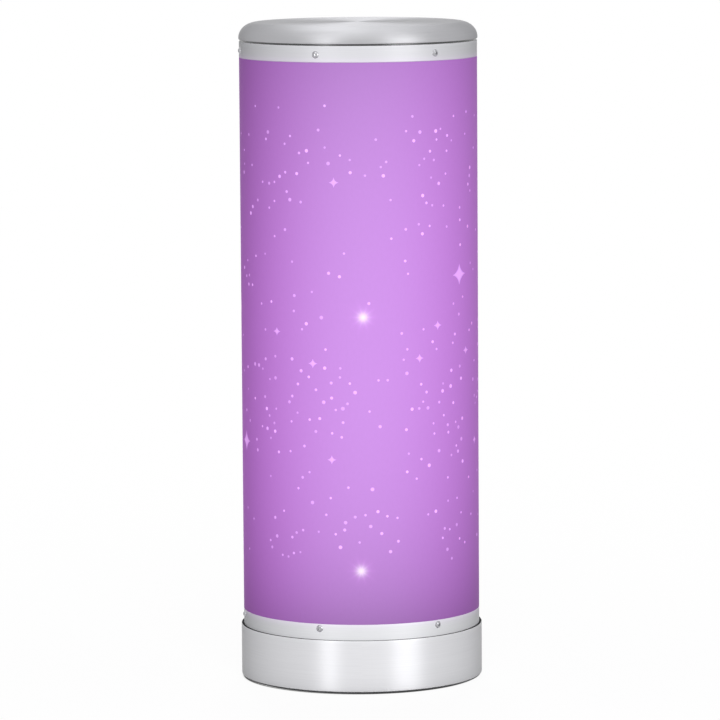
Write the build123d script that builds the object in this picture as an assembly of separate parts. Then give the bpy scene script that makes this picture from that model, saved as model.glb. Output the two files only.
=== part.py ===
from build123d import *
import os
from math import atan2, cos, degrees, radians, sin

# Decorative LED lamp: a lit column in a star-printed film, between a brushed base and a spun cap.
# Millimetres, +Z up, origin on the table under the column's axis, front towards -Y.
# Angles are counted from the front towards +X.

# Heights, from the table upwards
FOOT_STAND = 0.4
LIP_HEIGHT = 0.6
TRIM_HEIGHT = 20.0
LOWER_BAND = 6.2
SLEEVE_HEIGHT = 217.0
UPPER_BAND = 6.4
SEAL_HEIGHT = 0.7
CAP_SIDE = 2.0
CAP_SHOULDER_HEIGHT = 4.6

# Column, collars and cap
SHELL_RADIUS = 46.5
FILM_THICKNESS = 0.4
FILM_GAP = 0.05
TUBE_WALL = 2.0
SPIGOT_CLEARANCE = 0.1
SPIGOT_LENGTH = 6.0
DRUM_WALL = 2.0
DECK_PLATE = 2.4
COLLAR_TUCK = 2.6
COLLAR_EDGE = 0.25
SEAL_INSET = 0.2
SEAL_WIDTH = 1.2
CARRIER_FLANGE_GAP = 0.1
CARRIER_FLANGE_RISE = 1.2
CAP_OVERHANG = 0.2
CAP_WALL = 0.8
CAP_SHOULDER_WIDTH = 7.0
CAP_RIM_EDGE = 0.3

# Collar screws, six to a ring
COLLAR_SCREW_COUNT = 6
COLLAR_SCREW_START = -20.5
LOWER_SCREW_DROP = 1.8
UPPER_SCREW_RISE = 3.0
COLLAR_SCREW_RADIUS = 0.8
COLLAR_SCREW_LENGTH = 6.0
COLLAR_HEAD_RADIUS = 1.4
COLLAR_HEAD_HEIGHT = 0.8
THREAD_CLEARANCE = 0.05

# Cap studs and nuts
STUD_COUNT = 3
STUD_CIRCLE = 28.0
STUD_RADIUS = 2.0
STUD_FOOT_RADIUS = 3.5
STUD_FOOT_HEIGHT = 0.8
STUD_CLEARANCE = 0.2
STUD_END = 1.5
NUT_RADIUS = 4.0
NUT_HEIGHT = 3.2

# Base moulding with its metal trim, foot ring and deck
TRIM_GAP = 0.4
TRIM_WALL = 0.6
TRIM_EDGE = 0.25
TRIM_FIT = 0.05
LIP_INSET = 0.5
FLOOR_THICKNESS = 2.0
HOUSING_WALL = 2.0
DECK_FLANGE = 2.0
FOOT_INSET = 1.1
FOOT_WIDTH = 3.4
FOOT_SEAT = 0.8
FOOT_FIT = 0.1
FOOT_EDGE = 0.3

# Housing screws, driven from below in deep posts
POST_ANGLES = (0, 110, 250)
POST_RADIUS = 3.6
POST_SINK = 0.3
POST_LEDGE = 3.0
HOUSING_SCREW_RADIUS = 1.4
HOUSING_SCREW_BITE = 6.0
HOUSING_HEAD_RADIUS = 2.5
HOUSING_HEAD_HEIGHT = 1.8
HOUSING_HEAD_CLEARANCE = 0.25
SCREW_HOLE_CLEARANCE = 0.15
PILOT_END = 0.5

# Battery bay in the middle of the base, for round cells lying side by side
BAY_WALL = 1.5
CELL_COUNT = 3
CELL_RADIUS = 5.25
CELL_PITCH = 10.9
CELL_LENGTH = 44.5
CELL_NUB_LENGTH = 1.0
CELL_NUB_RADIUS = 1.9
CELL_EDGE = 0.5
CELL_CLEARANCE = 0.3
CONTACT_THICKNESS = 0.4
CONTACT_SIZE = 7.0
LEAF_WIDTH = 4.0
SPRING_REACH = 5.1
BRIDGE_HEIGHT = 4.0
TAB_WIDTH = 3.0
TAB_RISE = 2.0
TAB_CLEARANCE = 0.1
RIB_WIDTH = 1.6
ROOF_RIB_HEIGHT = 2.4
DOOR_RIB_HEIGHT = 1.8
DOOR_RIB_LENGTH = 34.0

# Battery door with its hinge
DOOR_THICKNESS = 1.2
DOOR_SEAT_GAP = 0.1
DOOR_LAP = 1.0
DOOR_GAP = 0.25
DOOR_CORNER = 1.0
HINGE_GAP = 0.6
HINGE_REACH = 2.2
KNUCKLE_RADIUS = 0.95
KNUCKLE_LENGTH = 10.0
KNUCKLE_SIDE_GAP = 0.2
KNUCKLE_CLEARANCE = 0.35
TRUNNION_RADIUS = 0.6
TRUNNION_LENGTH = 1.5
TRUNNION_CLEARANCE = 0.05
TRUNNION_END_GAP = 0.2
HINGE_PAD = 1.2
SCOOP_RADIUS = 5.0
SCOOP_DEPTH = 0.7

# Control board and slide switch
BOARD_REAR_GAP = 6.8
BOARD_WIDTH = 30.0
BOARD_DEPTH = 12.0
BOARD_THICKNESS = 1.6
BOARD_POST_SPAN = 24.0
BOARD_POST_RADIUS = 2.4
BOARD_SCREW_RADIUS = 1.0
BOARD_SCREW_BITE = 3.5
BOARD_HEAD_RADIUS = 2.0
BOARD_HEAD_HEIGHT = 1.4
SWITCH_WIDTH = 9.6
SWITCH_DEPTH = 5.0
SWITCH_HEIGHT = 4.5
SWITCH_STANDOFF = 0.3
SWITCH_SHELL = 0.6
SWITCH_TRAVEL = 3.0
KNOB_STEM = 2.4
KNOB_WING_WIDTH = 4.6
KNOB_WING_DEPTH = 3.2
KNOB_WING_HEIGHT = 1.2
KNOB_GAP = 0.3
KNOB_SHY = 0.25
RECESS_MARGIN = 3.5
RECESS_DEPTH = 0.9
CHIP_SIZE = (5.0, 4.0, 1.4)
CHIP_PLACE = (-5.0, 2.0)
CAPACITOR_RADIUS = 2.5
CAPACITOR_HEIGHT = 6.0
CAPACITOR_PLACE = (2.0, 3.0)
SOCKET_SIZE = (6.0, 4.0, 4.5)
SOCKET_PLACE = (6.0, -2.0)

# Leads from the end contacts to the board
LEAD_RADIUS = 0.6
LEAD_LIFT = 0.1
LEAD_STRAIGHT = 6.0
LEAD_BEND = 2.5
POSITIVE_LEAD_PLACE = (-6.0, -3.5)
NEGATIVE_LEAD_PLACE = (-9.5, -3.5)

# LED mast, strips and lights
MAST_WIDTH = 16.0
MAST_WALL = 1.2
MAST_CORNER = 1.0
MAST_CLEARANCE = 0.15
MAST_SOCKET_WALL = 2.5
MAST_SOCKET_HEIGHT = 6.0
MAST_END_PLAY = 0.1
STRIP_WIDTH = 10.0
STRIP_THICKNESS = 0.9
STRIP_END_GAP = 1.0
STRIP_ANGLES = {"front": 0, "right": 90, "rear": 180, "left": 270}
LED_FIRST = 8.8
LED_PITCH = 33.3
LED_END = 8.0
STAR_LED_EVERY = 3
COLOUR_LED_SIZE = 5.0
COLOUR_LED_HEIGHT = 1.6
STAR_LED_RADIUS = 2.5
STAR_LED_RIM = 0.4
STAR_LED_RIM_HEIGHT = 1.0
STAR_LED_BARREL = 4.0

# Cable from the board up into the mast
CABLE_RADIUS = 1.2
CABLE_RUN_DROP = 3.2
CABLE_BEND = 3.2
CABLE_HOLE_CLEARANCE = 0.6
CABLE_RISE = 24.0

# Heights that follow
floor_low = FOOT_STAND
floor_top = floor_low + FLOOR_THICKNESS
trim_low = floor_low + LIP_HEIGHT
trim_top = trim_low + TRIM_HEIGHT
sleeve_low = trim_top + LOWER_BAND
sleeve_top = sleeve_low + SLEEVE_HEIGHT
collar_top = sleeve_top + UPPER_BAND
cap_low = collar_top + SEAL_HEIGHT
shoulder_low = cap_low + CAP_SIDE
cap_top = shoulder_low + CAP_SHOULDER_HEIGHT
collar_low = trim_top - COLLAR_TUCK
wall_top = collar_low - DECK_FLANGE
lower_screw_height = sleeve_low - LOWER_SCREW_DROP
upper_screw_height = sleeve_top + UPPER_SCREW_RISE
deck_low = lower_screw_height - DECK_PLATE / 2
deck_top = lower_screw_height + DECK_PLATE / 2
carrier_low = upper_screw_height - DECK_PLATE / 2
carrier_top = upper_screw_height + DECK_PLATE / 2

# Radii that follow
tube_radius = SHELL_RADIUS - FILM_THICKNESS - FILM_GAP
tube_bore = tube_radius - TUBE_WALL
drum_radius = tube_bore - SPIGOT_CLEARANCE
drum_bore = drum_radius - DRUM_WALL
post_circle = drum_bore - POST_RADIUS + POST_SINK
trim_bore = SHELL_RADIUS + TRIM_GAP
trim_radius = trim_bore + TRIM_WALL
housing_radius = trim_bore - TRIM_FIT
housing_bore = housing_radius - HOUSING_WALL
lip_radius = trim_radius - LIP_INSET
groove_radius = lip_radius - FOOT_INSET
groove_bore = groove_radius - FOOT_WIDTH
groove_top = floor_low + FOOT_SEAT
seal_radius = SHELL_RADIUS - SEAL_INSET
seal_bore = seal_radius - SEAL_WIDTH
cap_radius = SHELL_RADIUS + CAP_OVERHANG

# Battery bay and door that follow
bay_half_x = (CELL_LENGTH + SPRING_REACH + CONTACT_THICKNESS) / 2
bay_half_y = CELL_COUNT * CELL_PITCH / 2
door_top = floor_low + DOOR_THICKNESS
cell_height = door_top + DOOR_SEAT_GAP + CELL_CLEARANCE + CELL_RADIUS
bay_roof_low = cell_height + CELL_RADIUS + CELL_CLEARANCE
bay_roof_top = bay_roof_low + BAY_WALL
door_half_x = bay_half_x + DOOR_LAP
door_half_y = bay_half_y + DOOR_LAP
rebate_top = door_top + DOOR_SEAT_GAP
hinge_x = -door_half_x - HINGE_REACH
hinge_height = floor_low + KNUCKLE_RADIUS
knuckle_half = KNUCKLE_LENGTH / 2
pocket_low_x = hinge_x - KNUCKLE_RADIUS - KNUCKLE_CLEARANCE
pocket_half = knuckle_half + KNUCKLE_SIDE_GAP
pocket_top = hinge_height + KNUCKLE_RADIUS + KNUCKLE_CLEARANCE
pad_half = knuckle_half + TRUNNION_LENGTH + TRUNNION_END_GAP + HINGE_PAD

# Board and switch that follow
board_y = housing_bore - BOARD_REAR_GAP - BOARD_DEPTH / 2
switch_low = floor_top + SWITCH_STANDOFF
board_low = switch_low + SWITCH_HEIGHT
board_top = board_low + BOARD_THICKNESS
socket_top = board_top + SOCKET_SIZE[2]
knob_x = -SWITCH_TRAVEL / 2
slot_half_x = SWITCH_TRAVEL / 2 + KNOB_STEM / 2 + KNOB_GAP
slot_half_y = KNOB_STEM / 2 + KNOB_GAP
wing_low = switch_low + SWITCH_SHELL + KNOB_GAP

# Mast and lights that follow
mast_half = MAST_WIDTH / 2
mast_low = deck_top
mast_top = carrier_low - MAST_END_PLAY
strip_low = deck_top + MAST_SOCKET_HEIGHT + STRIP_END_GAP
strip_top = carrier_low - MAST_SOCKET_HEIGHT - STRIP_END_GAP
strip_face = mast_half + STRIP_THICKNESS
led_count = int((strip_top - strip_low - LED_FIRST - LED_END) / LED_PITCH) + 1
star_led_rows = range(0, led_count, STAR_LED_EVERY)
colour_led_rows = [row for row in range(led_count) if row not in star_led_rows]

STANDING = (Align.CENTER, Align.CENTER, Align.MIN)


def bar(radius, low, high, x=0.0, y=0.0):
    """Upright round bar between two heights."""
    return Pos(x, y, low) * Cylinder(radius, high - low, align=STANDING)


def ring(bore, radius, low, high):
    """Upright ring between two heights."""
    return bar(radius, low, high) - bar(bore, low, high)


def block(x_low, x_high, y_low, y_high, low, high):
    """Block between its six limits."""
    size = Box(x_high - x_low, y_high - y_low, high - low, align=STANDING)
    return Pos((x_low + x_high) / 2, (y_low + y_high) / 2, low) * size


def slab(half_x, half_y, low, high, x=0.0, y=0.0):
    """Block centred on a point, between two heights."""
    return block(x - half_x, x + half_x, y - half_y, y + half_y, low, high)


def around(angle, radius):
    """Place on a circle about the axis."""
    turn = radians(angle)
    return radius * sin(turn), -radius * cos(turn)


def facing(angle, radius, height):
    """Plane at a distance from the axis, looking straight out."""
    turn = radians(angle)
    x, y = around(angle, radius)
    return Plane((x, y, height), x_dir=(cos(turn), sin(turn), 0), z_dir=(sin(turn), -cos(turn), 0))


def turned(*points):
    """Solid turned about the axis from its corner points, each a radius and a height."""
    return revolve(Plane.XZ * make_face(Polyline(*points, close=True)), Axis.Z)


def turned_band(bore, radius, low, high, edge):
    """Turned band with its four edges broken."""
    return turned(
        (bore + edge, low),
        (radius - edge, low),
        (radius, low + edge),
        (radius, high - edge),
        (radius - edge, high),
        (bore + edge, high),
        (bore, high - edge),
        (bore, low + edge),
    )


def screw_angles():
    """Angles of the screws in a collar."""
    pitch = 360 / COLLAR_SCREW_COUNT
    return [COLLAR_SCREW_START + index * pitch for index in range(COLLAR_SCREW_COUNT)]


def post_places():
    """Places of the housing screws."""
    return [around(angle, post_circle) for angle in POST_ANGLES]


def board_post_places():
    """Places of the board's two posts."""
    return [(side * BOARD_POST_SPAN / 2, board_y) for side in (-1, 1)]


def stud_places():
    """Places of the cap's studs."""
    return [around(index * 360 / STUD_COUNT, STUD_CIRCLE) for index in range(STUD_COUNT)]


def cell_rows():
    """Each cell's place across the bay and its turn, every second cell the other way round."""
    middle = (CELL_COUNT - 1) / 2
    return [((index - middle) * CELL_PITCH, 180 * (index % 2)) for index in range(CELL_COUNT)]


def in_bay(row, piece):
    """A piece of the bay at one cell's row."""
    y, turn = row
    return Pos(0, y, cell_height) * Rot(0, 0, turn) * piece


def between_cells():
    """Places across the bay midway between neighbouring cells."""
    rows = [y for y, _ in cell_rows()]
    return [(row + next_row) / 2 for row, next_row in zip(rows, rows[1:])]


def collar_holes(height, radius):
    """Radial holes for a collar's screws, at a height."""
    depth = COLLAR_SCREW_LENGTH + PILOT_END
    hole = Cylinder(radius, depth, align=(Align.CENTER, Align.CENTER, Align.MAX))
    return [facing(angle, SHELL_RADIUS, height) * hole for angle in screw_angles()]


def collar(low, high, screw_height):
    """Turned collar with its screw holes."""
    band = turned_band(tube_bore, SHELL_RADIUS, low, high, COLLAR_EDGE)
    return band - collar_holes(screw_height, COLLAR_SCREW_RADIUS + THREAD_CLEARANCE)


def collar_screws(height):
    """Dome-headed screws round a collar."""
    dome_radius = (COLLAR_HEAD_RADIUS**2 + COLLAR_HEAD_HEIGHT**2) / (2 * COLLAR_HEAD_HEIGHT)
    dome_low = COLLAR_HEAD_HEIGHT - dome_radius
    start = degrees(atan2(-dome_low, COLLAR_HEAD_RADIUS))
    shank = Polyline(
        (0, COLLAR_HEAD_HEIGHT),
        (0, -COLLAR_SCREW_LENGTH),
        (COLLAR_SCREW_RADIUS, -COLLAR_SCREW_LENGTH),
        (COLLAR_SCREW_RADIUS, 0),
        (COLLAR_HEAD_RADIUS, 0),
    )
    dome = CenterArc((0, dome_low), dome_radius, start, 90 - start)
    screw = revolve(Plane.XZ * make_face(shank + dome), Axis.Z)
    return Compound([facing(angle, SHELL_RADIUS, height) * screw for angle in screw_angles()])


def mast_socket(low, high):
    """Square socket that holds one end of the mast."""
    inner = mast_half + MAST_CLEARANCE
    outer = inner + MAST_SOCKET_WALL
    return slab(outer, outer, low, high) - slab(inner, inner, low, high)


def base_housing():
    """Base moulding: floor, wall, battery bay, screw posts, board posts and hinge pad."""
    body = turned(
        (0, floor_low),
        (lip_radius, floor_low),
        (lip_radius, trim_low),
        (housing_radius, trim_low),
        (housing_radius, wall_top),
        (housing_bore, wall_top),
        (housing_bore, floor_top),
        (0, floor_top),
    )
    body -= ring(groove_bore, groove_radius, floor_low, groove_top)
    for x, y in post_places():
        body += bar(POST_RADIUS, floor_low, wall_top, x, y)
    body += slab(bay_half_x + BAY_WALL, bay_half_y + BAY_WALL, floor_low, bay_roof_top)
    body += block(pocket_low_x - HINGE_PAD, -bay_half_x - BAY_WALL, -pad_half, pad_half,
                  floor_low, pocket_top + HINGE_PAD)
    body -= slab(bay_half_x, bay_half_y, floor_low, bay_roof_low)
    for y in between_cells():
        body += slab(bay_half_x, RIB_WIDTH / 2, bay_roof_low - ROOF_RIB_HEIGHT, bay_roof_low, y=y)
    first_row, last_row = cell_rows()[0], cell_rows()[-1]
    body -= in_bay(first_row, contact_tab(1, TAB_CLEARANCE))
    body -= in_bay(last_row, contact_tab(-1, TAB_CLEARANCE))
    rebate_half_y = door_half_y + DOOR_GAP
    body -= block(-door_half_x - HINGE_GAP, door_half_x + DOOR_GAP, -rebate_half_y, rebate_half_y,
                  floor_low, rebate_top)
    body -= block(pocket_low_x, -door_half_x, -pocket_half, pocket_half, floor_low, pocket_top)
    hole_half = knuckle_half + TRUNNION_LENGTH + TRUNNION_END_GAP
    trunnion_hole = Cylinder(TRUNNION_RADIUS + TRUNNION_CLEARANCE, 2 * hole_half, rotation=(90, 0, 0))
    body -= Pos(hinge_x, 0, hinge_height) * trunnion_hole
    body -= bar(SCOOP_RADIUS, floor_low, floor_low + SCOOP_DEPTH, door_half_x)
    for x, y in post_places():
        head_hole = HOUSING_HEAD_RADIUS + HOUSING_HEAD_CLEARANCE
        body -= bar(head_hole, floor_low, wall_top - POST_LEDGE, x, y)
        body -= bar(HOUSING_SCREW_RADIUS + SCREW_HOLE_CLEARANCE, floor_low, wall_top, x, y)
    for x, y in board_post_places():
        pilot_low = board_low - BOARD_SCREW_BITE - PILOT_END
        body += bar(BOARD_POST_RADIUS, floor_low, board_low, x, y)
        body -= bar(BOARD_SCREW_RADIUS + THREAD_CLEARANCE, pilot_low, board_low, x, y)
    body -= slab(slot_half_x + RECESS_MARGIN, slot_half_y + RECESS_MARGIN, floor_low,
                 floor_low + RECESS_DEPTH, y=board_y)
    return body - slab(slot_half_x, slot_half_y, floor_low, floor_top, y=board_y)


def foot_ring():
    """Rubber ring in the floor's groove, which the lamp stands on."""
    return turned_band(groove_bore + FOOT_FIT, groove_radius - FOOT_FIT, 0, groove_top, FOOT_EDGE)


def base_trim():
    """Brushed metal sleeve pressed over the base moulding, resting on its lip."""
    return turned_band(trim_bore, trim_radius, trim_low, trim_top, TRIM_EDGE)


def battery_door():
    """Hinged door with its knuckle, trunnions, finger scoop and inner ribs."""
    door = slab(door_half_x, door_half_y, floor_low, door_top)
    door = fillet(door.edges().filter_by(Axis.Z), DOOR_CORNER)
    door += block(hinge_x, -door_half_x, -knuckle_half, knuckle_half, floor_low, door_top)
    knuckle = Cylinder(KNUCKLE_RADIUS, KNUCKLE_LENGTH, rotation=(90, 0, 0))
    trunnion = Cylinder(TRUNNION_RADIUS, KNUCKLE_LENGTH + 2 * TRUNNION_LENGTH, rotation=(90, 0, 0))
    door += Pos(hinge_x, 0, hinge_height) * (knuckle + trunnion)
    for y in between_cells():
        door += slab(DOOR_RIB_LENGTH / 2, RIB_WIDTH / 2, door_top, door_top + DOOR_RIB_HEIGHT, y=y)
    return door - bar(SCOOP_RADIUS, floor_low, floor_low + SCOOP_DEPTH, door_half_x)


def battery_cells():
    """Three round cells, every second one the other way round."""
    flat_x = bay_half_x - CONTACT_THICKNESS - CELL_LENGTH
    can_length = CELL_LENGTH - CELL_NUB_LENGTH
    can = bar(CELL_RADIUS, 0, can_length)
    can = chamfer(can.edges().filter_by(GeomType.CIRCLE), CELL_EDGE)
    can += bar(CELL_NUB_RADIUS, can_length, CELL_LENGTH)
    return Compound([in_bay(row, Pos(flat_x, 0, 0) * Rot(0, 90, 0) * can) for row in cell_rows()])


def flat_contact():
    """Flat contact that meets a cell's nub."""
    half = CONTACT_SIZE / 2
    return block(bay_half_x - CONTACT_THICKNESS, bay_half_x, -half, half, -half, half)


def contact_tab(side, clearance=0.0):
    """Tab of an end contact, up through the bay's roof at one end of a cell."""
    inner, outer = sorted((side * (bay_half_x - CONTACT_THICKNESS), side * bay_half_x))
    half = TAB_WIDTH / 2 + clearance
    top = bay_roof_top + TAB_RISE - cell_height
    return block(inner - clearance, outer + clearance, -half, half, CONTACT_SIZE / 2, top)


def leaf_contact():
    """Bowed leaf contact that presses on a cell's flat end."""
    half = CONTACT_SIZE / 2
    wall_x = -bay_half_x
    face_x = wall_x + CONTACT_THICKNESS
    tip_x = wall_x + SPRING_REACH
    strip = 1.5 * CONTACT_THICKNESS
    plate = block(wall_x, face_x, -half, half, -half, half)
    bow = Polyline(
        (face_x, half),
        (tip_x, CONTACT_THICKNESS),
        (tip_x, -CONTACT_THICKNESS),
        (face_x, -half),
        (face_x, strip - half),
        (tip_x - strip, 0),
        (face_x, half - strip),
        close=True,
    )
    leaf = extrude(Plane.XZ * make_face(bow), LEAF_WIDTH / 2, both=True)
    return plate + leaf


def bridge_contacts():
    """Contacts that join each cell's flat end to the next cell's nub."""
    half = CELL_PITCH / 2
    rise = BRIDGE_HEIGHT / 2
    strip = block(-bay_half_x, CONTACT_THICKNESS - bay_half_x, -half, half, -rise, rise)
    rows = cell_rows()
    bridges = []
    for row, next_row, y in zip(rows, rows[1:], between_cells()):
        ends = in_bay(row, leaf_contact()) + in_bay(next_row, flat_contact())
        bridges.append(ends + in_bay((y, row[1]), strip))
    return Compound(bridges)


def end_contacts():
    """First and last contact of the row of cells, each with a tab for its lead."""
    first_row, last_row = cell_rows()[0], cell_rows()[-1]
    first = in_bay(first_row, flat_contact() + contact_tab(1))
    last = in_bay(last_row, leaf_contact() + contact_tab(-1))
    return Compound([first, last])


def battery_lead(side, y, place):
    """Lead from an end contact's tab over the bay's roof and down to the board."""
    x = side * (bay_half_x - CONTACT_THICKNESS)
    run_height = bay_roof_top + LEAD_LIFT + LEAD_RADIUS
    route = [
        (x, y, run_height),
        (x - side * LEAD_STRAIGHT, y, run_height),
        (place[0], board_y + place[1], run_height),
        (place[0], board_y + place[1], board_top),
    ]
    path = FilletPolyline(*route, radius=LEAD_BEND)
    return sweep(Plane(path @ 0, z_dir=path % 0) * Circle(LEAD_RADIUS), path=path)


def battery_leads():
    """The two leads from the cells to the board."""
    first_y, last_y = cell_rows()[0][0], cell_rows()[-1][0]
    positive = battery_lead(1, first_y, POSITIVE_LEAD_PLACE)
    negative = battery_lead(-1, last_y, NEGATIVE_LEAD_PLACE)
    return Compound([positive, negative])


def control_board():
    """Circuit board on the two board posts."""
    board = slab(BOARD_WIDTH / 2, BOARD_DEPTH / 2, board_low, board_top, y=board_y)
    for x, y in board_post_places():
        board -= bar(BOARD_SCREW_RADIUS + SCREW_HOLE_CLEARANCE, board_low, board_top, x, y)
    return board


def on_board(size, place):
    """Block standing on the board at a place counted from the board's middle."""
    x, y = place
    return slab(size[0] / 2, size[1] / 2, board_top, board_top + size[2], x, board_y + y)


def board_components():
    """Control chip, capacitor and cable socket on the board."""
    x, y = CAPACITOR_PLACE
    capacitor = bar(CAPACITOR_RADIUS, board_top, board_top + CAPACITOR_HEIGHT, x, board_y + y)
    return Compound([on_board(CHIP_SIZE, CHIP_PLACE), capacitor, on_board(SOCKET_SIZE, SOCKET_PLACE)])


def board_screws():
    """Pan-headed screws that hold the board."""
    screws = []
    for x, y in board_post_places():
        head = bar(BOARD_HEAD_RADIUS, board_top, board_top + BOARD_HEAD_HEIGHT, x, y)
        screws.append(head + bar(BOARD_SCREW_RADIUS, board_low - BOARD_SCREW_BITE, board_top, x, y))
    return Compound(screws)


def switch_body():
    """Slide switch under the board, open below for its knob."""
    shell = slab(SWITCH_WIDTH / 2, SWITCH_DEPTH / 2, switch_low, board_low, y=board_y)
    shell -= slab(SWITCH_WIDTH / 2 - SWITCH_SHELL, SWITCH_DEPTH / 2 - SWITCH_SHELL,
                  switch_low + SWITCH_SHELL, board_low - SWITCH_SHELL, y=board_y)
    return shell - slab(slot_half_x, slot_half_y, switch_low, switch_low + SWITCH_SHELL, y=board_y)


def switch_knob():
    """Slide switch's knob: a stem through the floor with wings inside the switch."""
    wing_top = wing_low + KNOB_WING_HEIGHT
    stem = slab(KNOB_STEM / 2, KNOB_STEM / 2, floor_low + KNOB_SHY, wing_top, knob_x, board_y)
    return stem + slab(KNOB_WING_WIDTH / 2, KNOB_WING_DEPTH / 2, wing_low, wing_top, knob_x, board_y)


def housing_screws():
    """Screws that pull the base moulding up against the deck."""
    ledge = wall_top - POST_LEDGE
    screws = []
    for x, y in post_places():
        head = bar(HOUSING_HEAD_RADIUS, ledge - HOUSING_HEAD_HEIGHT, ledge, x, y)
        screws.append(head + bar(HOUSING_SCREW_RADIUS, ledge, wall_top + HOUSING_SCREW_BITE, x, y))
    return Compound(screws)


def base_deck():
    """Deck that closes the base and carries the collar, the tube and the mast."""
    deck = turned(
        (0, deck_low),
        (drum_bore, deck_low),
        (drum_bore, wall_top),
        (SHELL_RADIUS, wall_top),
        (SHELL_RADIUS, collar_low),
        (drum_radius, collar_low),
        (drum_radius, sleeve_low + SPIGOT_LENGTH),
        (drum_bore, sleeve_low + SPIGOT_LENGTH),
        (drum_bore, deck_top),
        (0, deck_top),
    )
    deck += mast_socket(deck_top, deck_top + MAST_SOCKET_HEIGHT)
    for x, y in post_places():
        deck += bar(POST_RADIUS, wall_top, deck_low, x, y)
        deck -= bar(HOUSING_SCREW_RADIUS + THREAD_CLEARANCE, wall_top,
                    wall_top + HOUSING_SCREW_BITE + PILOT_END, x, y)
    deck -= bar(CABLE_RADIUS + CABLE_HOLE_CLEARANCE, deck_low, deck_top)
    return deck - collar_holes(lower_screw_height, COLLAR_SCREW_RADIUS + THREAD_CLEARANCE)


def diffuser_tube():
    """Opal tube that carries the printed film."""
    return ring(tube_bore, tube_radius, sleeve_low, sleeve_top)


def star_sleeve():
    """Printed film wrapped round the tube."""
    return ring(SHELL_RADIUS - FILM_THICKNESS, SHELL_RADIUS, sleeve_low, sleeve_top)


def led_mast():
    """Square aluminium tube that carries the light strips."""
    bore = mast_half - MAST_WALL
    tube = slab(mast_half, mast_half, mast_low, mast_top)
    tube = fillet(tube.edges().filter_by(Axis.Z), MAST_CORNER)
    return tube - slab(bore, bore, mast_low, mast_top)


def led_strip(angle):
    """Light strip on one face of the mast."""
    half = STRIP_WIDTH / 2
    return Rot(0, 0, angle) * block(-half, half, -strip_face, -mast_half, strip_low, strip_top)


def led_places(rows):
    """Planes on the strips' faces for the lights of some rows."""
    heights = [strip_low + LED_FIRST + row * LED_PITCH for row in rows]
    return [facing(angle, strip_face, height) for angle in STRIP_ANGLES.values() for height in heights]


def colour_leds():
    """Square colour lights on the strips."""
    package = Box(COLOUR_LED_SIZE, COLOUR_LED_SIZE, COLOUR_LED_HEIGHT, align=STANDING)
    return Compound([place * package for place in led_places(colour_led_rows)])


def star_leds():
    """Domed white lights on the strips, which show as the two bright points."""
    rim_radius = STAR_LED_RADIUS + STAR_LED_RIM
    outline = Polyline(
        (0, STAR_LED_BARREL + STAR_LED_RADIUS),
        (0, 0),
        (rim_radius, 0),
        (rim_radius, STAR_LED_RIM_HEIGHT),
        (STAR_LED_RADIUS, STAR_LED_RIM_HEIGHT),
        (STAR_LED_RADIUS, STAR_LED_BARREL),
    )
    dome = CenterArc((0, STAR_LED_BARREL), STAR_LED_RADIUS, 0, 90)
    light = revolve(Plane.XZ * make_face(outline + dome), Axis.Z)
    return Compound([place * light for place in led_places(star_led_rows)])


def led_cable():
    """Cable from the board's socket over the bay and up into the mast."""
    x, y = SOCKET_PLACE
    run_height = deck_low - CABLE_RUN_DROP
    route = [
        (x, board_y + y, socket_top),
        (x, board_y + y, run_height),
        (0, 0, run_height),
        (0, 0, deck_top + CABLE_RISE),
    ]
    path = FilletPolyline(*route, radius=CABLE_BEND)
    section = Plane(path @ 0, z_dir=path % 0) * Circle(CABLE_RADIUS)
    return sweep(section, path=path)


def top_carrier():
    """Carrier inside the upper collar, which holds the mast's top and the cap."""
    flange_radius = seal_bore - CARRIER_FLANGE_GAP
    flange_top = cap_low + CARRIER_FLANGE_RISE
    carrier = turned(
        (0, carrier_low),
        (drum_bore, carrier_low),
        (drum_bore, sleeve_top - SPIGOT_LENGTH),
        (drum_radius, sleeve_top - SPIGOT_LENGTH),
        (drum_radius, collar_top),
        (flange_radius, collar_top),
        (flange_radius, flange_top),
        (drum_bore, flange_top),
        (drum_bore, carrier_top),
        (0, carrier_top),
    )
    carrier += mast_socket(carrier_low - MAST_SOCKET_HEIGHT, carrier_low)
    for x, y in stud_places():
        carrier -= bar(STUD_RADIUS + STUD_CLEARANCE, carrier_low, carrier_top, x, y)
    return carrier - collar_holes(upper_screw_height, COLLAR_SCREW_RADIUS + THREAD_CLEARANCE)


def cap_seal():
    """Dark ring between the upper collar and the cap."""
    return ring(seal_bore, seal_radius, collar_top, cap_low)


def top_cap():
    """Spun cap with an elliptical shoulder."""
    crown_radius = cap_radius - CAP_SHOULDER_WIDTH
    inner_radius = cap_radius - CAP_WALL
    inner_top = cap_top - CAP_WALL
    outer_shoulder = EllipticalCenterArc(
        (crown_radius, shoulder_low), CAP_SHOULDER_WIDTH, CAP_SHOULDER_HEIGHT
    )
    inner_shoulder = EllipticalCenterArc(
        (crown_radius, shoulder_low), CAP_SHOULDER_WIDTH - CAP_WALL, CAP_SHOULDER_HEIGHT - CAP_WALL
    )
    crown = Polyline((crown_radius, cap_top), (0, cap_top), (0, inner_top), (crown_radius, inner_top))
    skirt = Polyline(
        (cap_radius, shoulder_low),
        (cap_radius, cap_low),
        (inner_radius, cap_low),
        (inner_radius, shoulder_low),
    )
    cap = revolve(Plane.XZ * make_face(crown + outer_shoulder + inner_shoulder + skirt), Axis.Z)
    rim = cap.edges().filter_by(GeomType.CIRCLE).group_by(Axis.Z)[0]
    return chamfer(rim, CAP_RIM_EDGE)


def cap_studs():
    """Studs welded under the cap."""
    crown_low = cap_top - CAP_WALL
    end = carrier_low - NUT_HEIGHT - STUD_END
    studs = []
    for x, y in stud_places():
        foot = bar(STUD_FOOT_RADIUS, crown_low - STUD_FOOT_HEIGHT, crown_low, x, y)
        studs.append(foot + bar(STUD_RADIUS, end, crown_low, x, y))
    return Compound(studs)


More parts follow.
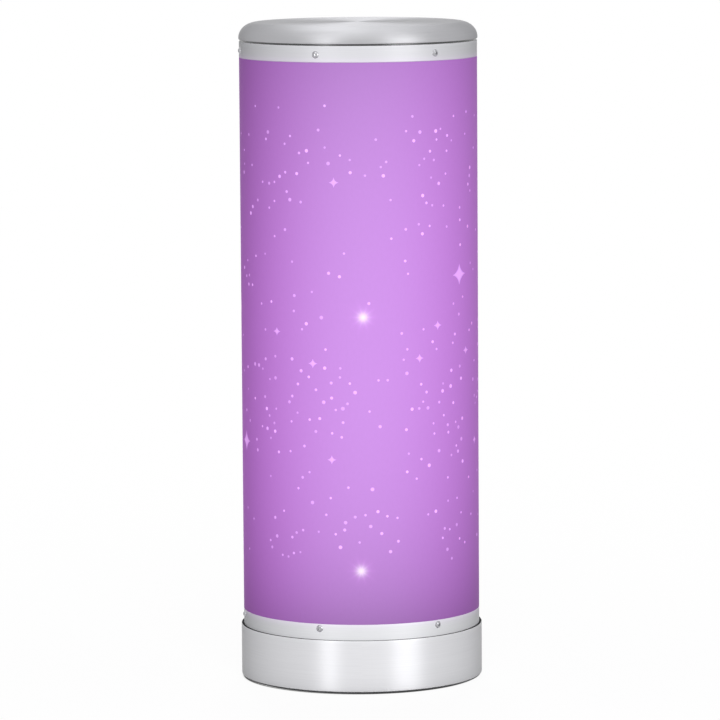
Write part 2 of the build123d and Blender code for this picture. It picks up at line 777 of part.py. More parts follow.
def cap_nuts():
    """Nuts that draw the cap down from under the carrier."""
    section = RegularPolygon(NUT_RADIUS, 6) - Circle(STUD_RADIUS + THREAD_CLEARANCE)
    nut = extrude(section, NUT_HEIGHT)
    return Compound([Pos(x, y, carrier_low - NUT_HEIGHT) * nut for x, y in stud_places()])


def lamp_pieces():
    """Every piece of the lamp by name."""
    pieces = {
        "base_housing": base_housing(),
        "foot_ring": foot_ring(),
        "base_trim": base_trim(),
        "battery_door": battery_door(),
        "battery_cells": battery_cells(),
        "bridge_contacts": bridge_contacts(),
        "end_contacts": end_contacts(),
        "battery_leads": battery_leads(),
        "control_board": control_board(),
        "board_components": board_components(),
        "board_screws": board_screws(),
        "switch_body": switch_body(),
        "switch_knob": switch_knob(),
        "housing_screws": housing_screws(),
        "base_deck": base_deck(),
        "lower_collar": collar(collar_low, sleeve_low, lower_screw_height),
        "lower_collar_screws": collar_screws(lower_screw_height),
        "diffuser_tube": diffuser_tube(),
        "star_sleeve": star_sleeve(),
        "led_mast": led_mast(),
        "colour_leds": colour_leds(),
        "star_leds": star_leds(),
        "led_cable": led_cable(),
        "upper_collar": collar(sleeve_top, collar_top, upper_screw_height),
        "upper_collar_screws": collar_screws(upper_screw_height),
        "top_carrier": top_carrier(),
        "cap_seal": cap_seal(),
        "top_cap": top_cap(),
        "cap_studs": cap_studs(),
        "cap_nuts": cap_nuts(),
    }
    for side, angle in STRIP_ANGLES.items():
        pieces[f"led_strip_{side}"] = led_strip(angle)
    return pieces


os.makedirs("parts", exist_ok=True)
for name, piece in lamp_pieces().items():
    export_step(piece, f"parts/{name}.step")
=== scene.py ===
import random
from math import atan2, cos, degrees, hypot, pi, radians, sin

import bmesh
import bpy
from bpy.props import FloatProperty, FloatVectorProperty, IntProperty, PointerProperty
from mathutils import Matrix, Vector


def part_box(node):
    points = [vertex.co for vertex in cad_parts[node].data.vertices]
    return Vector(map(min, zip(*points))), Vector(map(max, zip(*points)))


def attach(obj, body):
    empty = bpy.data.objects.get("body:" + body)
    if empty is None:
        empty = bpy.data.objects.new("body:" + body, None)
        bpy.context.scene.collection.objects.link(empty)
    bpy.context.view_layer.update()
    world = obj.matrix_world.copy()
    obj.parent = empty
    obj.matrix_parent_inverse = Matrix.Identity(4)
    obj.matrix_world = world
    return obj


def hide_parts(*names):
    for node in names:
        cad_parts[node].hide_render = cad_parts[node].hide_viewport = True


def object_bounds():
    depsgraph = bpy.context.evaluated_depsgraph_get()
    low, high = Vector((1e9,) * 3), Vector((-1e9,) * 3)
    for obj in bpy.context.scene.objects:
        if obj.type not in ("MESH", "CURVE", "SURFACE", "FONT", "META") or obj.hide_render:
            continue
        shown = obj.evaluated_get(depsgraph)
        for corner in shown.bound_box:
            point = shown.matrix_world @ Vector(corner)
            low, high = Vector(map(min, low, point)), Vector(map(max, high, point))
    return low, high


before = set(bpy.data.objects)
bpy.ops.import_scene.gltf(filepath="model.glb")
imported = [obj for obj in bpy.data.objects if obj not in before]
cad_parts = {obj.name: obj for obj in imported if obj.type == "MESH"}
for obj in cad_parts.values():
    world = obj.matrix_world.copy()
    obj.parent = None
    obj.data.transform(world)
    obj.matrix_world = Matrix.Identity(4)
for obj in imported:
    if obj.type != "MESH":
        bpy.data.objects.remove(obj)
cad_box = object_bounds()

bl_info = {
    "name": "Star column lamp",
    "version": (1, 0, 0),
    "blender": (4, 5, 0),
    "location": "3D View > Sidebar > Lamp",
    "description": "Dresses a column lamp with turned metal, printed film and stars, on a studio stage",
    "category": "Add Mesh",
}

# Metres per millimetre, for the small sizes below
MM = 0.001
LAMP = "lamp"

# Points of an outline that are closer than this lie at one place
SAME_PLACE = 0.01 * MM
# Edges of an outline that are longer than this are divided before it is spun
LONG_EDGE = 1.0 * MM
LONG_EDGE_CUTS = 15
# Corners of a spun shell that are closer than this are merged
MERGE_DISTANCE = 0.001 * MM
# Edges that bend more than this are shaded as edges
SHARP_EDGE = radians(35)

# What every colour property has in common
COLOUR_RANGE = {"size": 3, "min": 0.0, "max": 1.0}

# Shader settings of all turned metal
METAL_SHADER = {
    "Anisotropic Rotation": 0.25,
    "Specular IOR Level": 0.2,
    "Specular Tint": (0.5, 0.5, 0.5, 1.0),
}
# Turned metal: breaks of its fine lines to the radian, and ripples of its cloudy wear to the metre
METAL_BREAKS = 2.0
METAL_CLOUDS = 60.0
# Share of the lines in its tone, the rest being clouds, and how far the tone strays
METAL_LINE_SHARE = 0.7
METAL_SPREAD = 0.07
# Roughness that lines and clouds add, and what comes off to keep the mean
METAL_LINE_ROUGHNESS = 0.05
METAL_CLOUD_ROUGHNESS = 0.04
METAL_ROUGHNESS_OFF = 0.04
METAL_BUMP = 0.5
# Height over which the shade painted on a metal near the floor fades out
PAINTED_FLOOR_SHADE_REACH = 3.2 * MM
# Reach of the glow painted on the collars beside the film's edges
PAINTED_RIM_GLOW_REACH = 1.6 * MM

# Plain finishes: breadth of the second grain, how far the tone strays, roughness from the fine grain
PLAIN_BROADER = 12
PLAIN_SPREAD = 0.12
PLAIN_ROUGHNESS = 0.12
PLAIN_BUMP = 0.4
# Settings of a plated finish
PLATED = {"metallic": 1.0, "grain": 1500.0, "depth": 0.004 * MM}

# Film: ripples of its fibres to the radian and to the metre, how far they shade it, and their bump
FIBRES_ROUND = 40.0
FIBRES_UP = 500.0
FIBRE_SHADE = 0.04
FIBRE_DEPTH = 0.02 * MM
FIBRE_BUMP = 0.3
# Light strips round the mast, each with its own bright points on the film
STRIPS = 4
# Rays of a bright point: their number, the light between them, the light they add, and how narrow they are
RAYS = 10.0
RAY_LEAST = 0.6
RAY_ADDED = 0.8
RAY_NARROW = 3.0

# Printed marks: corners of a dot and of a star, width of a mark's top as a share of its foot, and the power
# that draws a star in between its points
DOT_CORNERS = 10
STAR_CORNERS = 32
MARK_TOP = 0.55
STAR_PINCH = 0.64

# Screw heads: facets round a head and up its dome, height of the socket's floor at its edge as a share of
# the dome's, and in its middle as a share of that at the edge
HEAD_FACETS = 24
DOME_FACETS = 8
SOCKET_EDGE = 0.3
SOCKET_MIDDLE = 0.8
HEXAGON_STEP = radians(60)

# Underside of the foot ring: equal steps across it, and the steps that are grooves
FOOT_STEPS = 7
FOOT_GROOVES = (2, 5)

# Floor: its size, how far it lies under the foot, how much darker than white it is under the lamp, partly as
# painted shade and partly showing its real shadow, and the distance over which it gets white again
FLOOR_RADIUS = 16.0
FLOOR_CORNERS = 64
FLOOR_GAP = 0.05 * MM
FLOOR_PAINTED_SHADE = 0.08
FLOOR_PAINTED_SHADE_REACH = 0.25
FLOOR_COLOUR = (0.9, 0.9, 0.9, 1.0)
# Painted contact shadow, a dark line where the foot meets the floor: its reach, how far outside the foot it
# is darkest, and how far it is moved to the left
PAINTED_SHADOW_REACH = 0.55 * MM
PAINTED_SHADOW_OFFSET = 0.2 * MM
PAINTED_SHADOW_SHIFT = 0.5 * MM
PAINTED_SHADOW_COLOUR = (0.02, 0.02, 0.02, 1.0)

# Sensor width of the camera in mm
SENSOR_WIDTH = 36.0

# Four-pointed stars of the print: angle from the front in degrees, height, half width and half height in mm
FOUR_POINT_STARS = (
    (56.3, 161.0, 6.4, 5.4),
    (-73.3, 95.1, 6.4, 5.4),
    (166.0, 178.0, 6.4, 5.4),
    (-160.0, 71.0, 6.4, 5.4),
    (-12.0, 198.4, 2.6, 2.6),
    (40.3, 142.2, 2.7, 2.4),
    (-23.0, 128.5, 2.6, 2.4),
    (29.6, 130.0, 2.4, 2.3),
    (62.1, 131.0, 2.7, 2.1),
    (-13.8, 91.4, 2.4, 2.3),
    (73.2, 94.8, 2.6, 2.3),
    (-43.5, 140.1, 2.6, 2.2),
    (112.0, 205.0, 2.6, 2.4),
    (131.0, 118.0, 2.4, 2.3),
    (-118.0, 190.0, 2.7, 2.4),
    (-137.0, 126.0, 2.6, 2.3),
    (-104.0, 60.0, 2.4, 2.3),
    (150.0, 66.0, 2.6, 2.3),
)

# Drifts that the print's dots lie in: middle angle and spread in degrees, and share of the dots
DOT_DRIFTS = (
    (-45.0, 21.0, 0.22),
    (46.0, 22.0, 0.29),
    (0.0, 15.0, 0.09),
    (138.0, 27.0, 0.20),
    (-142.0, 27.0, 0.20),
)

# Bands across those drifts: middle height and spread in mm, and share of the dots
DOT_BANDS = (
    (206.0, 12.0, 0.15),
    (117.0, 15.0, 0.20),
    (66.0, 10.0, 0.12),
    (140.0, 65.0, 0.54),
)

# Finishes of the moulded, electric and hidden pieces: name, colour, roughness, other settings and CAD nodes
INNER_FINISHES = (
    (
        "black_moulding",
        (0.022, 0.022, 0.024),
        0.5,
        {"grain": 1400.0, "depth": 0.03 * MM},
        ("base_housing", "battery_door", "base_deck", "top_carrier"),
    ),
    (
        "plated_steel",
        (0.62, 0.62, 0.63),
        0.3,
        PLATED,
        ("housing_screws", "board_screws", "cap_studs", "cap_nuts", "switch_body"),
    ),
    (
        "strip_white",
        (0.75, 0.75, 0.73),
        0.4,
        {},
        ("led_strip_front", "led_strip_right", "led_strip_rear", "led_strip_left"),
    ),
    ("opal_tube", (0.80, 0.80, 0.80), 0.35, {}, ("diffuser_tube",)),
    ("nickel_contacts", (0.66, 0.64, 0.60), 0.25, {"metallic": 1.0}, ("bridge_contacts", "end_contacts")),
    ("cell_wrap", (0.05, 0.16, 0.10), 0.35, {}, ("battery_cells",)),
    ("board_green", (0.02, 0.10, 0.04), 0.4, {}, ("control_board",)),
    ("component_black", (0.03, 0.03, 0.03), 0.45, {}, ("board_components",)),
    ("switch_grey", (0.30, 0.30, 0.31), 0.45, {}, ("switch_knob",)),
    ("cable_grey", (0.20, 0.20, 0.21), 0.5, {}, ("led_cable",)),
    ("lead_red", (0.35, 0.03, 0.03), 0.5, {}, ("battery_leads",)),
    ("mast_aluminium", (0.60, 0.60, 0.61), 0.4, {"metallic": 1.0}, ("led_mast",)),
    ("light_yellow", (0.70, 0.62, 0.30), 0.35, {}, ("colour_leds",)),
    ("light_clear", (0.80, 0.80, 0.82), 0.15, {}, ("star_leds",)),
)

# Lights that only light surfaces: name, place, aim, width and height in metres, property of their power,
# their share of that power and their turn in radians
PANELS = (
    ("front_panel", (0.17, -2.3, 1.15), (0.0, 0.0, 0.13), 1.4, 1.4, "key_power", 1.0, 0.0),
    ("rear_panel", (0.0, 2.3, 1.15), (0.0, 0.0, 0.13), 1.0, 1.4, "key_power", 0.6, 0.0),
    ("left_panel", (-2.3, 0.0, 1.15), (0.0, 0.0, 0.13), 1.0, 1.4, "key_power", 0.045, 0.0),
    ("right_panel", (2.3, 0.0, 1.15), (0.0, 0.0, 0.13), 1.0, 1.4, "key_power", 0.045, 0.0),
    ("under_panel", (0.0, 0.0, -1.4), (0.0, 0.0, 0.0), 0.3, 0.3, "under_power", 1.0, 0.0),
)

# Lights that only show as mirrored bands, with the same values
MIRRORED_LIGHTS = (
    ("left_strip", (-0.62, -1.03, 0.4), (0.0, 0.0, 0.2), 0.28, 0.8, "left_power", 1.0, 0.0),
    ("right_strip", (0.82, -0.87, 0.4), (0.0, 0.0, 0.2), 0.56, 0.8, "right_power", 1.0, 0.0),
    ("ceiling", (0.0, 0.4, 1.5), (0.0, 0.4, 0.0), 1.15, 3.4, "ceiling_power", 1.0, 0.0),
    ("left_tube", (-0.37, 0.14, 1.5), (-0.37, 0.14, 0.0), 0.16, 2.1, "tube_power", 1.0, -0.255),
    ("right_tube", (0.35, 0.14, 1.5), (0.35, 0.14, 0.0), 0.16, 2.1, "tube_power", 1.0, 0.255),
)


def node_radius(node):
    """Outer radius of a round CAD node."""
    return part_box(node)[1].x


def node_span(node):
    """Lowest and highest height of a CAD node."""
    low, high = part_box(node)
    return low.z, high.z


class LampSizes(bpy.types.PropertyGroup):
    """Sizes of the dressed pieces."""

    spin_steps: IntProperty(
        name="Spin steps", description="Facets round each large turned piece",
        default=256, min=32,
    )
    shoulder_steps: IntProperty(
        name="Shoulder steps",
        description="Facets over the outside of the cap's shoulder, twice those inside",
        default=24, min=4,
    )
    cap_wall: FloatProperty(
        name="Cap wall", description="Sheet thickness of the spun cap",
        default=0.8 * MM, unit="LENGTH",
    )
    cap_side: FloatProperty(
        name="Cap side", description="Straight height of the cap under its shoulder",
        default=0.6 * MM, unit="LENGTH",
    )
    cap_shoulder: FloatProperty(
        name="Cap shoulder", description="Width of the cap's rounded shoulder",
        default=7.0 * MM, unit="LENGTH",
    )
    seal_width: FloatProperty(
        name="Seal width", description="Width of the dark ring under the cap",
        default=1.2 * MM, unit="LENGTH",
    )
    seal_round: FloatProperty(
        name="Seal rounding", description="Rounding of the edges of the ring under the cap",
        default=0.1 * MM, unit="LENGTH",
    )
    trim_wall: FloatProperty(
        name="Base trim wall", description="Thickness of the base's metal trim",
        default=0.6 * MM, unit="LENGTH",
    )
    collar_wall: FloatProperty(
        name="Collar wall", description="Thickness of the two collars",
        default=2.4 * MM, unit="LENGTH",
    )
    film_wall: FloatProperty(
        name="Film thickness", description="Thickness of the printed film",
        default=0.4 * MM, unit="LENGTH",
    )
    edge_round: FloatProperty(
        name="Edge rounding", description="Rounding of the edges of cap, collars and trim",
        default=0.25 * MM, unit="LENGTH",
    )
    # The dark ring between trim and collar is painted shade: it stands for the shade and dark reflection in
    # the gap
    shade_ring_depth: FloatProperty(
        name="Gasket depth", description="How deep the dark ring sits between trim and collar",
        default=1.2 * MM, unit="LENGTH",
    )
    shade_ring_rise: FloatProperty(
        name="Gasket rise", description="How far the dark ring stands over the trim",
        default=0.03 * MM, unit="LENGTH",
    )
    shade_ring_setback: FloatProperty(
        name="Gasket setback", description="How far the dark ring's lip stays inside the trim",
        default=0.12 * MM, unit="LENGTH",
    )
    shade_ring_round: FloatProperty(
        name="Gasket rounding", description="Rounding of the dark ring's edges",
        default=0.01 * MM, unit="LENGTH",
    )
    foot_width: FloatProperty(
        name="Foot ring width", description="Width of the rubber ring under the base",
        default=3.2 * MM, unit="LENGTH",
    )
    foot_rib: FloatProperty(
        name="Foot rib depth", description="Depth of the grooves between the foot ring's ribs",
        default=0.3 * MM, unit="LENGTH",
    )
    foot_round: FloatProperty(
        name="Foot ring rounding", description="Rounding of the foot ring's edges",
        default=0.1 * MM, unit="LENGTH",
    )
    screw_start: FloatProperty(
        name="First screw", description="Angle of the first collar screw from the front",
        default=radians(-20.5), subtype="ANGLE",
    )
    screw_count: IntProperty(
        name="Screws in a collar", description="Dome screws round each collar",
        default=6, min=1,
    )
    screw_head: FloatProperty(
        name="Screw head radius", description="Radius of a collar screw's dome",
        default=1.4 * MM, unit="LENGTH",
    )
    screw_dome: FloatProperty(
        name="Screw dome height", description="Height of a collar screw's dome",
        default=0.8 * MM, unit="LENGTH",
    )
    screw_sink: FloatProperty(
        name="Screw head sink", description="How far a collar screw's head reaches into the collar",
        default=0.2 * MM, unit="LENGTH",
    )
    screw_socket: FloatProperty(
        name="Screw socket", description="Half the width across flats of the screws' hexagon sockets",
        default=0.55 * MM, unit="LENGTH",
    )


class LampPrint(bpy.types.PropertyGroup):
    """The film's print, its painted shading and the lights that show through it."""

    seed: IntProperty(
        name="Seed", description="Seed of the print's scatter of dots",
        default=7,
    )
    dot_count: IntProperty(
        name="Dots", description="Dots that are tried round the whole film",
        default=610, min=0,
    )
    dot_small: FloatProperty(
        name="Smallest dot", description="Radius of the smallest printed dot",
        default=0.63 * MM, unit="LENGTH",
    )
    dot_large: FloatProperty(
        name="Largest dot", description="Radius of the largest printed dot",
        default=1.05 * MM, unit="LENGTH",
    )
    dot_gap: FloatProperty(
        name="Dot gap", description="Least distance between the middles of two dots of one size",
        default=2.7 * MM, unit="LENGTH",
    )
    dot_dim: FloatProperty(
        name="Dimmest dot", description="Strength of the star glow in the dimmest dot",
        default=0.6, min=0.0, subtype="FACTOR",
    )
    dot_bright: FloatProperty(
        name="Brightest dot", description="Strength of the star glow in the brightest dot",
        default=1.3, min=0.0, subtype="FACTOR",
    )
    star_bright: FloatProperty(
        name="Star strength", description="Strength of the star glow in the four-pointed stars",
        default=0.85, min=0.0, subtype="FACTOR",
    )
    ink: FloatProperty(
        name="Ink height", description="How far the printed marks stand out of the film",
        default=0.04 * MM, unit="LENGTH",
    )
    low_margin: FloatProperty(
        name="Bare strip below", description="Height of the bare strip at the film's lower edge",
        default=22.0 * MM, unit="LENGTH",
    )
    high_margin: FloatProperty(
        name="Bare strip above", description="Height of the bare strip at the film's upper edge",
        default=14.0 * MM, unit="LENGTH",
    )
    # The fades dim the film's glow near its edges and darken its colour there as painted shade
    low_fade: FloatProperty(
        name="Fade below", description="Share of its light that the film lacks at its lower edge",
        default=0.42, subtype="FACTOR",
    )
    low_fade_reach: FloatProperty(
        name="Reach of the fade below",
        description="Height over which the light comes back above the lower edge",
        default=29.0 * MM, unit="LENGTH",
    )
    high_fade: FloatProperty(
        name="Fade above", description="Share of its light that the film lacks at its upper edge",
        default=0.30, subtype="FACTOR",
    )
    high_fade_reach: FloatProperty(
        name="Reach of the fade above",
        description="Height over which the light comes back below the upper edge",
        default=55.0 * MM, unit="LENGTH",
    )
    # Painted light and shade: the leans make the film's colour and glow brighter on one side than on the
    # other
    low_painted_lean: FloatProperty(
        name="Lean below",
        description="How much brighter the right side is than the middle at the lower edge",
        default=-0.045, subtype="FACTOR",
    )
    high_painted_lean: FloatProperty(
        name="Lean above",
        description="How much brighter the right side is than the middle at the upper edge",
        default=0.085, subtype="FACTOR",
    )
    low_sparkle: FloatProperty(
        name="Lower light point", description="Height of the lower bright points on the film",
        default=48.2 * MM, unit="LENGTH",
    )
    high_sparkle: FloatProperty(
        name="Upper light point", description="Height of the upper bright points on the film",
        default=146.6 * MM, unit="LENGTH",
    )
    high_turn: FloatProperty(
        name="Upper light turn", description="Angle of the upper bright points from the lower ones",
        default=radians(1.6), subtype="ANGLE",
    )
    sparkle_core: FloatProperty(
        name="Light point size", description="Reach of the bright points' white middle",
        default=1.8 * MM, unit="LENGTH",
    )
    sparkle_halo: FloatProperty(
        name="Halo size", description="Reach of the bright points' halo",
        default=3.6 * MM, unit="LENGTH",
    )


class LampColours(bpy.types.PropertyGroup):
    """Colours of the lamp's finishes, as linear values."""

    film: FloatVectorProperty(
        name="Film", description="Colour of the printed film in plain light",
        default=(0.497, 0.292, 0.65), subtype="COLOR", **COLOUR_RANGE,
    )
    glow: FloatVectorProperty(
        name="Film glow", description="Light that comes through the film from inside",
        default=(0.182, 0.006, 0.228), subtype="COLOR", **COLOUR_RANGE,
    )
    strip: FloatVectorProperty(
        name="Strip glow", description="Light that the film adds in front of the light strips",
        default=(0.0, 0.024, 0.0), subtype="COLOR", **COLOUR_RANGE,
    )
    star: FloatVectorProperty(
        name="Star glow", description="Light that the printed dots and stars add",
        default=(0.40, 0.25, 0.46), subtype="COLOR", **COLOUR_RANGE,
    )
    core: FloatVectorProperty(
        name="Light point", description="Light that the bright points add at their middle",
        default=(0.46, 0.62, 0.35), subtype="COLOR", **COLOUR_RANGE,
    )
    halo: FloatVectorProperty(
        name="Halo", description="Light round the bright points",
        default=(0.11, 0.045, 0.12), subtype="COLOR", **COLOUR_RANGE,
    )
    # Painted light: the collars emit this glow beside the film's edges, though they are no lamp
    rim: FloatVectorProperty(
        name="Collar glow", description="Light that the film's edges throw on the collars",
        default=(0.06, 0.025, 0.08), subtype="COLOR", **COLOUR_RANGE,
    )
    cap: FloatVectorProperty(
        name="Spun steel", description="Colour of the cap",
        default=(0.46, 0.46, 0.478), subtype="COLOR", **COLOUR_RANGE,
    )
    steel: FloatVectorProperty(
        name="Brushed steel", description="Colour of the base trim",
        default=(0.755, 0.755, 0.78), subtype="COLOR", **COLOUR_RANGE,
    )
    # Both collars are one satin aluminium; their two colours are a lit and a shaded copy of it, the upper
    # one painted darker
    lower_collar: FloatVectorProperty(
        name="Lower collar", description="Colour of the lower collar's satin aluminium",
        default=(0.765, 0.77, 0.795), subtype="COLOR", **COLOUR_RANGE,
    )
    upper_collar: FloatVectorProperty(
        name="Upper collar", description="Colour of the upper collar's satin aluminium",
        default=(0.66, 0.66, 0.69), subtype="COLOR", **COLOUR_RANGE,
    )


class LampStage(bpy.types.PropertyGroup):
    """Camera and light of the studio stage."""

    camera_distance: FloatProperty(
        name="Camera distance", description="Level distance from the lamp's axis to the camera",
        default=1.9, unit="LENGTH",
    )
    camera_height: FloatProperty(
        name="Camera height", description="Height of the camera over the floor",
        default=0.343, unit="LENGTH",
    )
    camera_dip: FloatProperty(
        name="Camera dip", description="How far the camera looks down",
        default=radians(6.55), subtype="ANGLE",
    )
    camera_roll: FloatProperty(
        name="Camera roll", description="Turn of the camera about its own line of sight",
        default=radians(-0.38), subtype="ANGLE",
    )
    camera_lens: FloatProperty(
        name="Lens", description="Focal length in millimetres on a 36 mm sensor",
        default=243.03, unit="CAMERA",
    )
    fill: FloatProperty(
        name="Fill light", description="Brightness of the room's plain fill light",
        default=0.05, min=0.0, subtype="FACTOR",
    )
    key_power: FloatProperty(
        name="Key light",
        description="Power of the soft light beside the camera, which sets those on the other sides too",
        default=72.5, unit="POWER",
    )
    under_power: FloatProperty(
        name="Light from below", description="Power of the light that shows the underside",
        default=12.0, unit="POWER",
    )
    left_power: FloatProperty(
        name="Left strip light", description="Power of the tall light on the left",
        default=2.7, unit="POWER",
    )
    right_power: FloatProperty(
        name="Right strip light", description="Power of the tall light on the right",
        default=4.7, unit="POWER",
    )
    ceiling_power: FloatProperty(
        name="Ceiling light", description="Power of the wide light over the lamp",
        default=8.5, unit="POWER",
    )
    tube_power: FloatProperty(
        name="Tube light", description="Power of each long narrow light over the lamp",
        default=5.6, unit="POWER",
    )


class Number:
    """A socket of a node tree, so that shader maths reads as plain sums."""

    def __init__(self, nodes, socket):
        self.nodes = nodes
        self.socket = socket

    def math(self, operation, *operands):
        """The result of a Math node."""
        return self.nodes.node("ShaderNodeMath", dict(enumerate(operands)), operation=operation)

    def __add__(self, other):
        return self.math("ADD", self, other)

    def __radd__(self, other):
        return self.math("ADD", other, self)

    def __sub__(self, other):
        return self.math("SUBTRACT", self, other)

    def __rsub__(self, other):
        return self.math("SUBTRACT", other, self)

    def __mul__(self, other):
        return self.math("MULTIPLY", self, other)

    def __rmul__(self, other):
        return self.math("MULTIPLY", other, self)

    def __truediv__(self, other):
        return self.math("DIVIDE", self, other)

    def __rtruediv__(self, other):
        return self.math("DIVIDE", other, self)

    def __pow__(self, other):
        return self.math("POWER", self, other)

    def __rpow__(self, other):
        return self.math("POWER", other, self)

    def exp(self):
        """e to the power of this number."""
        return self.math("EXPONENT", self)

    def bell(self, width):
        """A smooth bump, one at zero, that falls off over a width."""
        ratio = self / width
        return (-1.0 * ratio * ratio).exp()

    def wave(self):
        """A smooth wave of this angle, from nought to one."""
        return 0.5 + 0.5 * self.math("COSINE", self)

    def length(self, other):
        """Length of a line that goes this far one way and the other number across."""
        return (self * self + other * other) ** 0.5


class Nodes:
    """The node tree of a material or of the world."""

    def __init__(self, tree):
        self.tree = tree

    def node(self, kind, inputs, output=0, **settings):
        """Adds a node: its settings first, then its sockets, each a value or a link."""
        made = self.tree.nodes.new(kind)
        for label, value in settings.items():
            setattr(made, label, value)
        for key, value in inputs.items():
            self.feed(made.inputs[key], value)
        return Number(self, made.outputs[output])

    def feed(self, socket, value):
        """Links a number to a socket, or sets the socket's own value."""
        if isinstance(value, Number):
            self.tree.links.new(value.socket, socket)
        else:
            socket.default_value = value

    def shown(self):
        """One for the rays that show the background: those of the camera, of gloss and of glass."""
        labels = ("Is Camera Ray", "Is Glossy Ray", "Is Transmission Ray")
        camera, gloss, glass = [self.node("ShaderNodeLightPath", {}, output=label) for label in labels]
        return camera.math("MAXIMUM", camera, gloss.math("MAXIMUM", gloss, glass))


class Finish(Nodes):
    """A material being made, with its nodes and its shader."""

    def __init__(self, name, constants):
        self.material = bpy.data.materials.new(name)
        self.material.use_nodes = True
        super().__init__(self.material.node_tree)
        self.shader = self.tree.nodes["Principled BSDF"]
        for label, value in constants.items():
            self.paint(label, value)

    def paint(self, label, value):
        """Feeds one of the shader's own sockets."""
        self.feed(self.shader.inputs[label], value)

    def place(self):
        """The piece's own coordinates: a vector, then x, y and z."""
        vector = self.node("ShaderNodeTexCoord", {}, output="Object")
        parts = [self.node("ShaderNodeSeparateXYZ", {0: vector}, output=axis) for axis in "XYZ"]
        return [vector, *parts]

    def noise(self, vector, scale, detail=3.0):
        """Noise from nought to one, at a number of ripples to the vector's unit."""
        sockets = {"Vector": vector, "Scale": scale, "Detail": detail}
        return self.node("ShaderNodeTexNoise", sockets, output="Fac")

    def joined(self, x, y, z):
        """A vector of three numbers."""
        return self.node("ShaderNodeCombineXYZ", {0: x, 1: y, 2: z})

    def mixed(self, factor, first, second):
        """A colour between two others."""
        sockets = {0: factor, 6: first, 7: second}
        return self.node("ShaderNodeMix", sockets, output=2, data_type="RGBA")

    def scaled(self, colour, factor):
        """A colour made stronger or weaker."""
        return self.node("ShaderNodeVectorMath", {0: colour, 3: factor}, operation="SCALE")

    def added(self, colour, extra, factor):
        """A colour with some of another added to it."""
        sockets = {0: colour, 1: self.scaled(extra, factor)}
        return self.node("ShaderNodeVectorMath", sockets, operation="ADD")

    def bump(self, height, distance, strength):
        """Feeds a height to the shader's normal, over a distance in metres."""
        sockets = {"Height": height, "Distance": distance, "Strength": strength}
        self.paint("Normal", self.node("ShaderNodeBump", sockets))


def opaque(colour, factor):
    """A colour made stronger or weaker, with its alpha."""
    return (*(factor * part for part in colour), 1.0)


def turned_metal(name, colour, metallic, roughness, streak, lines=2600.0, depth=0.01 * MM, painted_floor_shade=0.0):
    """Turned metal: fine lines round the axis and faint cloudy wear, with a painted shade near the floor."""
    finish = Finish(name, {"Metallic": metallic, "Anisotropic": streak, **METAL_SHADER})
    vector, x, y, z = finish.place()
    turn = x.math("ARCTAN2", x, y)
    round_lines = finish.joined(lines * x.length(y), lines * z, METAL_BREAKS * turn)
    grain = finish.noise(round_lines, 1.0)
    clouds = finish.noise(vector, METAL_CLOUDS)
    wear = METAL_LINE_SHARE * grain + (1.0 - METAL_LINE_SHARE) * clouds
    tone = finish.mixed(wear, opaque(colour, 1.0 - METAL_SPREAD), opaque(colour, 1.0 + METAL_SPREAD))
    # Painted shade: the colour darkens towards the floor, standing in for the shade the floor casts
    shade = painted_floor_shade * (z / -PAINTED_FLOOR_SHADE_REACH).exp()
    finish.paint("Base Color", finish.scaled(tone, 1.0 - shade))
    uneven = METAL_LINE_ROUGHNESS * grain + METAL_CLOUD_ROUGHNESS * clouds
    finish.paint("Roughness", roughness - METAL_ROUGHNESS_OFF + uneven)
    finish.bump(grain, depth, METAL_BUMP)
    return finish


def collar_satin(name, colour, glow):
    """Satin aluminium with a painted glow beside the film's edges."""
    finish = turned_metal(
        name, colour, metallic=0.22, roughness=0.55, streak=0.6, lines=3200.0, depth=0.006 * MM
    )
    *_, z = finish.place()
    low, high = node_span("star_sleeve")
    # Painted light: a glow on the collars that falls off away from the film's edges
    near = (z - low).bell(PAINTED_RIM_GLOW_REACH) + (z - high).bell(PAINTED_RIM_GLOW_REACH)
    finish.paint("Emission Strength", 1.0)
    finish.paint("Emission Color", finish.scaled(glow, near))
    return finish.material


